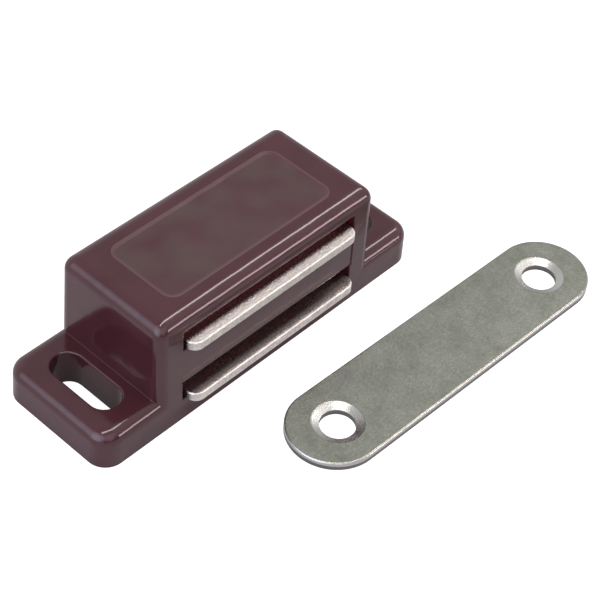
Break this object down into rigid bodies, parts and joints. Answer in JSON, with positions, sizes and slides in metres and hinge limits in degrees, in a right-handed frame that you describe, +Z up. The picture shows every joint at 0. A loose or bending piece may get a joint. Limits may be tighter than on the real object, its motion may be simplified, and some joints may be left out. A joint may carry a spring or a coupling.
{
  "type": "magnetic catch",
  "caption": "Magnetic door catch: a moulded case with slotted ears holds a floating magnet between steel poles, beside its flat round-ended strike plate with countersunk holes.",
  "frame": {"origin": "centre of the case's flat underside, the face that is screwed to the cabinet", "axes": "+X along the case and its row of ears, -Y out of the front where the poles show, +Z up through the case"},
  "size_m": [0.0614, 0.0341, 0.015],
  "materials": {
    "case_plastic": "gloss",
    "cover_plastic": "satin",
    "ferrite": "matte",
    "pole_steel": "satin",
    "strike_steel": "satin"
  },
  "bodies": {
    "case": {"housing": "case_plastic", "back_cover": "cover_plastic", "strike_plate": "strike_steel"},
    "magnet_pack": {"magnet": "ferrite", "upper_pole_plate": "pole_steel", "lower_pole_plate": "pole_steel"}
  },
  "joints": [
    {"name": "pack_slide", "type": "slide", "parent": "case", "child": "magnet_pack", "axis": [0, 1, 0], "range_m": [0, 0.0008]}
  ]
}
